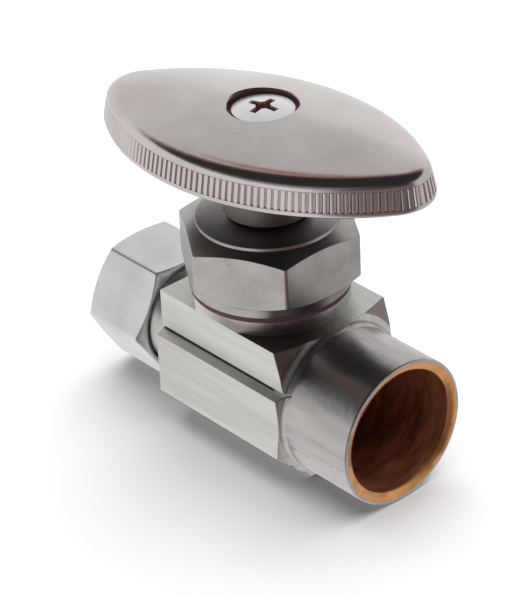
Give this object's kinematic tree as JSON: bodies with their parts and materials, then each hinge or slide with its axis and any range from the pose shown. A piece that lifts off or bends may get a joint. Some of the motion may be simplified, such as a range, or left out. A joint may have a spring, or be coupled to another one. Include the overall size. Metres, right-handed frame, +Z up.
{
  "type": "straight stop valve",
  "caption": "Plated brass straight multi-turn stop valve with an oval handle, a hexagonal bonnet, a solder cup inlet and a compression outlet.",
  "frame": {"origin": "on the flat base under the body, straight below the stem axis", "axes": "+X along the flow axis towards the solder cup, +Z up the stem, and the compression nut towards -X"},
  "size_m": [0.0495, 0.0262, 0.0454],
  "materials": {
    "body_plate": "dull nickel-chrome plate over brass with lengthwise draw lines; bare brown-orange metal inside the solder cup",
    "bonnet_plate": "satin turned and milled plate over brass",
    "nut_plate": "satin plate over brass with bright edges",
    "handle_plate": "bright plate over a die casting, reeded rim",
    "screw_plate": "bright zinc plate",
    "brass": "machined, unplated",
    "rubber": "smooth moulded",
    "fibre": "pressed red-brown fibre",
    "white_plastic": "smooth waxy"
  },
  "bodies": {
    "valve": {"valve_body": "body_plate", "bonnet": "bonnet_plate", "bonnet_gasket": "fibre", "lower_o_ring": "rubber", "upper_o_ring": "rubber", "o_ring_spacer": "white_plastic", "packing_washer": "brass"},
    "seat_disc": {"disc_holder": "brass", "seat_washer": "rubber", "seat_washer_screw": "brass"},
    "spindle": {"stem": "brass", "handle": "handle_plate", "handle_screw": "screw_plate"},
    "sleeve": {"compression_sleeve": "brass"},
    "nut": {"compression_nut": "nut_plate"}
  },
  "joints": [
    {"name": "seat_disc_lift", "type": "slide", "parent": "valve", "child": "seat_disc", "axis": [0, 0, 1], "range_m": [0, 0.00318]},
    {"name": "handle_turn", "type": "hinge", "parent": "seat_disc", "child": "spindle", "pos_m": [0, 0, 0.03], "axis": [0, 0, 1], "range_deg": [0, 900]},
    {"name": "sleeve_slide", "type": "slide", "parent": "valve", "child": "sleeve", "axis": [-1, 0, 0], "range_m": [0, 0.00424]},
    {"name": "nut_turn", "type": "hinge", "parent": "sleeve", "child": "nut", "pos_m": [-0.021, 0, 0.0096], "axis": [-1, 0, 0], "range_deg": [0, 1440]}
  ],
  "couplings": [
    {"joint": "seat_disc_lift", "follows": "handle_turn", "m_per_rad": 0.00020213},
    {"joint": "sleeve_slide", "follows": "nut_turn", "m_per_rad": 0.00016843}
  ]
}
